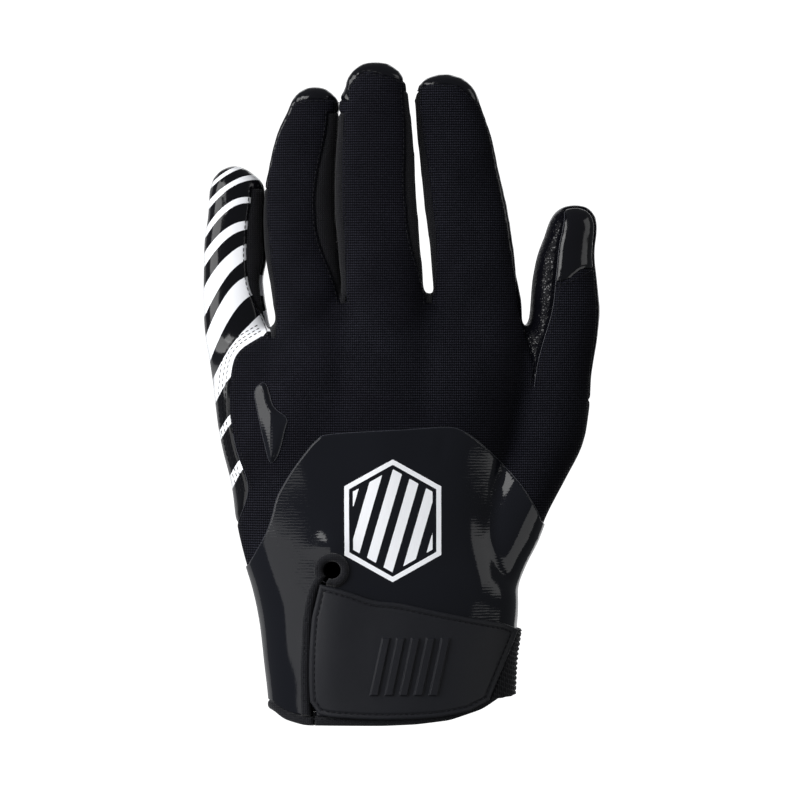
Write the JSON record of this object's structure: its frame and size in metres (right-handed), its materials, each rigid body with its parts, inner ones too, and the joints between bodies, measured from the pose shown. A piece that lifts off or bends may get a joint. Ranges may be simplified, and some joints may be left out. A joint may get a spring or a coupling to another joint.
{
  "type": "football receiver glove",
  "caption": "Left-hand receiver glove held open as if worn, with knit back, coated grip palm, film patch and a closing strap at the wrist.",
  "frame": {"origin": "middle of the wrist opening, level with the lowest point of the cuff", "axes": "+Z from the wrist to the finger tips, -Y out of the back of the hand, +X towards the thumb"},
  "size_m": [0.135, 0.0511, 0.2248],
  "materials": {
    "knit": "near-black fine rib knit",
    "grip": "glossy black silicone grip, printed with plain white stripes on the little finger",
    "side_wall": "near-black mesh knit",
    "film": "smooth glossy film, dark grey",
    "binding": "black woven tape with stitches",
    "strap": "matte rubberised tab with moulded ribs",
    "elastic": "ribbed black elastic",
    "stitch": "black sewing thread",
    "print": "white transfer print"
  },
  "bodies": {
    "root": {"back_panel": "knit", "palm_panel": "grip", "little_finger_grip": "grip", "side_wall_little_ring": "side_wall", "side_wall_ring_middle": "side_wall", "side_wall_middle_index": "side_wall", "thumb_grip": "grip", "thumb_tip_cap": "grip", "hand_patch": "film", "knuckle_inset": "film", "slit_binding": "binding", "strap": "strap", "strap_elastic": "elastic", "cuff_binding": "binding"}
  },
  "joints": []
}
